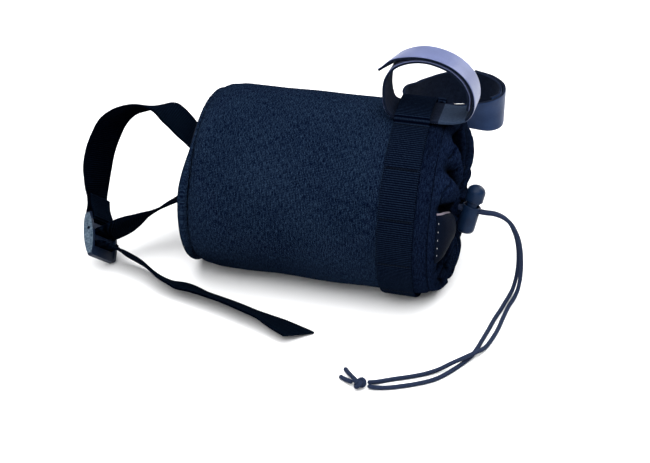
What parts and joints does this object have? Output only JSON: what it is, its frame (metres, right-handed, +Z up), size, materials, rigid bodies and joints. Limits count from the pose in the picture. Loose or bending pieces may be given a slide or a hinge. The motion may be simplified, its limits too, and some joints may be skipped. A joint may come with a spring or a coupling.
{
  "type": "bottle_bag",
  "caption": "Padded cylindrical bottle bag lying on its side, with a drawstring mouth, cord lock, hook-and-loop straps and a buckled base strap.",
  "frame": {"origin": "on the flat of the underside, where the lying bag rests", "axes": "+X along the bag from base to mouth, -Y is the side seen in the picture, +Z up"},
  "size_m": [0.2628, 0.2099, 0.1441],
  "materials": {
    "cloth": "coarse plain-weave nylon",
    "webbing": "ribbed flat webbing",
    "hook_tape": "smooth-backed hook-and-loop tape",
    "label_cloth": "close-woven ribbon",
    "moulding": "moulded, lightly textured",
    "cord": "braided"
  },
  "bodies": {
    "bag": {"body_shell": "cloth", "base_panel": "cloth", "collar": "cloth", "label": "label_cloth", "webbing_band": "webbing", "front_hook_strap": "hook_tape", "rear_hook_strap": "hook_tape", "strap_buckle": "moulding", "buckle_strap": "webbing", "adjusting_strap": "webbing", "cord_lock_barrel": "moulding", "draw_cord_a": "cord", "draw_cord_b": "cord", "cord_tail_a": "cord", "cord_tail_b": "cord", "cord_knot": "cord"},
    "cord_lock_button": {"cord_lock_button": "moulding"}
  },
  "joints": [
    {"name": "button_press", "type": "slide", "parent": "bag", "child": "cord_lock_button", "axis": [-0.2018, -0.2018, -0.9584], "range_m": [0, 0.0026], "stiffness_N_per_m": 400, "springref_m": -0.002}
  ]
}
